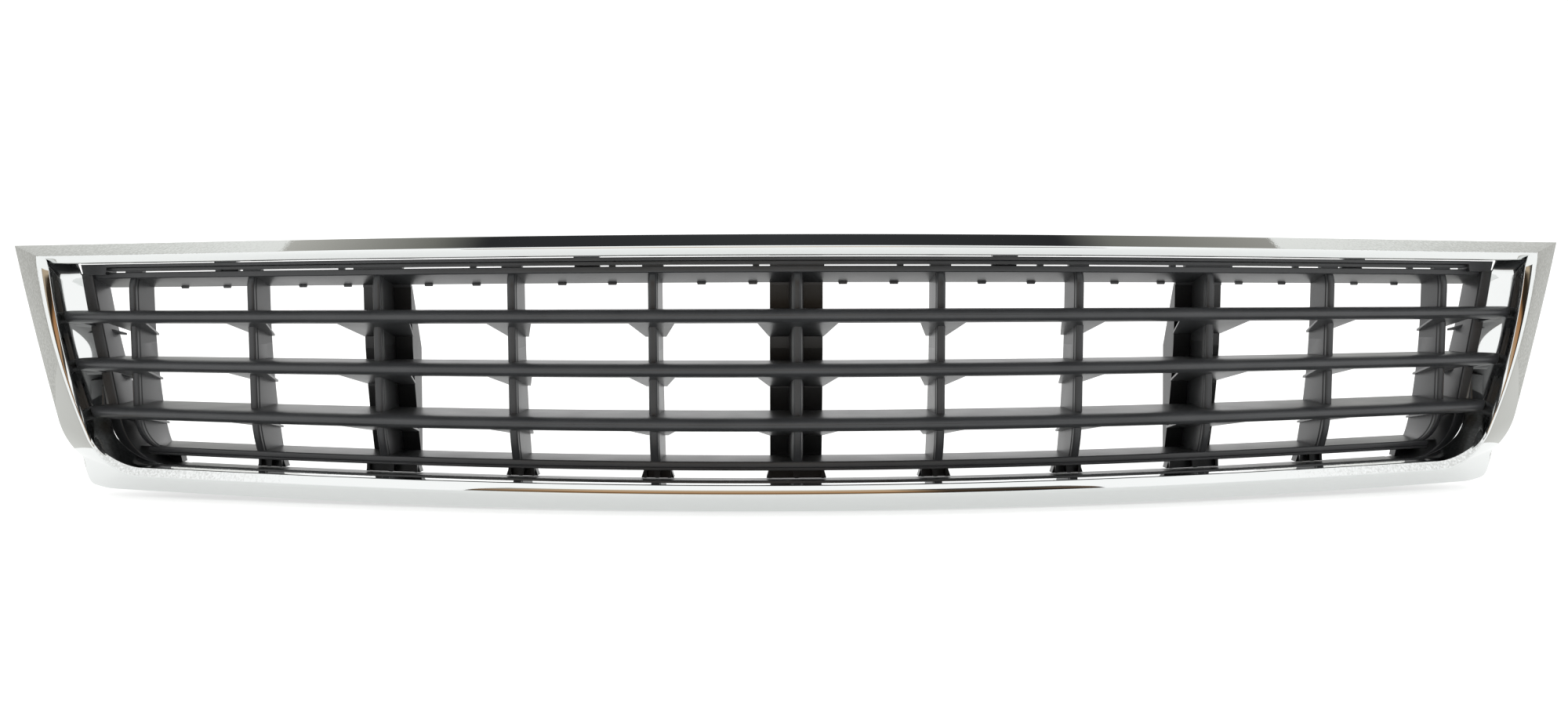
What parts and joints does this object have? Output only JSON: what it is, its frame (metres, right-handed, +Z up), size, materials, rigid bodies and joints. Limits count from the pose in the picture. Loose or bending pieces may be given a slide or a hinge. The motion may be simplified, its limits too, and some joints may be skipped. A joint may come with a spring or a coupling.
{
  "type": "front grille",
  "caption": "Bowed lower front bumper grille: bright-plated trapezoid surround clipped round a black moulded lattice of horizontal slats and upright ribs that lets cooling air through",
  "frame": {"origin": "centre of the rear face of the middle support plate", "axes": "+X to the viewer's right seen from the front and along the length, +Y to the rear (out of the support plate's rear face), +Z up"},
  "size_m": [1.0434, 0.1657, 0.167],
  "materials": {
    "plated": "polished",
    "black_plastic": "satin, fine grain"
  },
  "bodies": {
    "root": {"surround_top": "plated", "surround_side_right": "plated", "surround_side_left": "plated", "surround_bottom": "plated", "end_post_right": "black_plastic", "end_post_left": "black_plastic", "corner_panel_right": "black_plastic", "corner_panel_left": "black_plastic", "sill": "black_plastic", "upper_rail": "black_plastic", "lower_rail": "black_plastic", "cap_strip": "black_plastic", "clip_strip": "black_plastic", "slat_upper": "black_plastic", "slat_middle": "black_plastic", "slat_lower": "black_plastic", "rib_1": "black_plastic", "rib_2": "black_plastic", "rib_3": "black_plastic", "rib_4": "black_plastic", "rib_5": "black_plastic", "rib_6": "black_plastic", "rib_7": "black_plastic", "rib_8": "black_plastic", "rib_9": "black_plastic", "rib_10": "black_plastic", "rib_11": "black_plastic", "foot_1": "black_plastic", "foot_2": "black_plastic", "foot_3": "black_plastic", "foot_4": "black_plastic", "foot_5": "black_plastic", "foot_6": "black_plastic", "foot_7": "black_plastic", "foot_8": "black_plastic", "foot_9": "black_plastic", "foot_10": "black_plastic", "foot_11": "black_plastic", "support_plate_left": "black_plastic", "support_plate_middle": "black_plastic", "support_plate_right": "black_plastic", "clip_1": "black_plastic", "clip_2": "black_plastic", "clip_3": "black_plastic", "clip_4": "black_plastic"}
  },
  "joints": []
}
